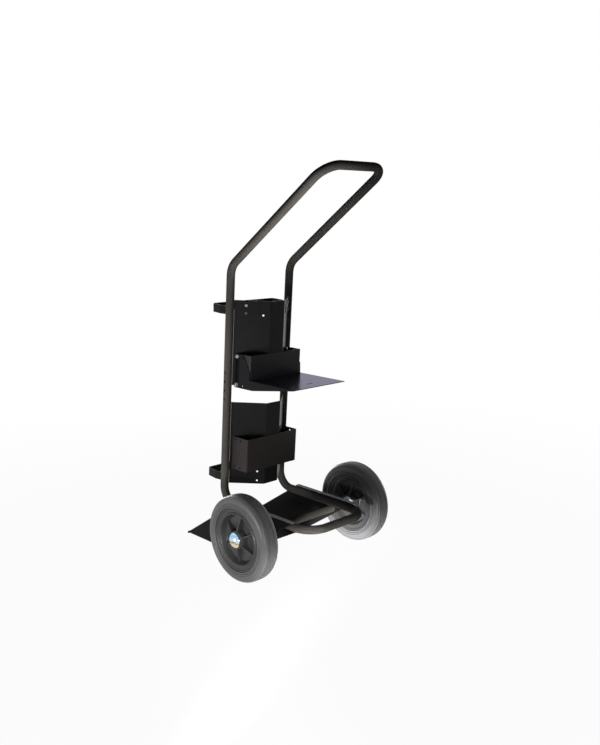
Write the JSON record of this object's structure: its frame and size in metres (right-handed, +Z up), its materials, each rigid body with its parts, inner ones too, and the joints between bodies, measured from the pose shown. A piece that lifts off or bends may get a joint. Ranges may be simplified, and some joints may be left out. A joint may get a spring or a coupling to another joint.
{
  "type": "gas cylinder trolley",
  "caption": "Gas cylinder trolley with a bent tube frame, folded sheet tray, retaining rings, V-shaped back panels, accessory pockets, a bolt-on shelf and solid rubber wheels.",
  "frame": {"origin": "on the floor, under the middle of the trolley's bounding box", "axes": "+Z up; +Y towards the operator behind the handle; +X towards the trolley's left as the operator sees it"},
  "size_m": [0.549, 0.6074, 1.163],
  "materials": {
    "frame_paint": "satin powder coat, warm grey-black",
    "pocket_paint": "satin powder coat, warm grey-black",
    "sheet_paint": "satin powder coat, near black",
    "zinc": "bright zinc plating",
    "cap_chrome": "polished",
    "tyre": "matt grey rubber",
    "rim_plastic": "satin moulded",
    "bush_plastic": "natural"
  },
  "bodies": {
    "frame": {"handle_bow": "frame_paint", "base_bow": "frame_paint", "left_joint_sleeve": "zinc", "right_joint_sleeve": "zinc", "tray": "sheet_paint", "axle_tube": "frame_paint", "axle_rod": "zinc", "left_inner_washer": "zinc", "right_inner_washer": "zinc", "left_outer_washer": "zinc", "right_outer_washer": "zinc", "left_spacer": "zinc", "right_spacer": "zinc", "left_hub_cap": "cap_chrome", "right_hub_cap": "cap_chrome", "lower_ring": "sheet_paint", "upper_ring": "sheet_paint", "lower_panel": "sheet_paint", "upper_panel": "sheet_paint", "left_chain_plate": "sheet_paint", "right_chain_plate": "sheet_paint", "chain_screws": "zinc", "chain_nuts": "zinc", "lower_pocket": "pocket_paint", "upper_pocket": "sheet_paint", "shelf": "sheet_paint", "shelf_bolts": "zinc", "shelf_washers": "zinc", "shelf_nuts": "zinc"},
    "left_wheel": {"left_tyre": "tyre", "left_rim": "rim_plastic", "left_bushes": "bush_plastic"},
    "right_wheel": {"right_tyre": "tyre", "right_rim": "rim_plastic", "right_bushes": "bush_plastic"}
  },
  "joints": [
    {"name": "left_wheel_spin", "type": "hinge", "parent": "frame", "child": "left_wheel", "pos_m": [0.2327, 0.0923, 0.125], "axis": [1, 0, 0], "continuous": true},
    {"name": "right_wheel_spin", "type": "hinge", "parent": "frame", "child": "right_wheel", "pos_m": [-0.2327, 0.0923, 0.125], "axis": [1, 0, 0], "continuous": true}
  ]
}
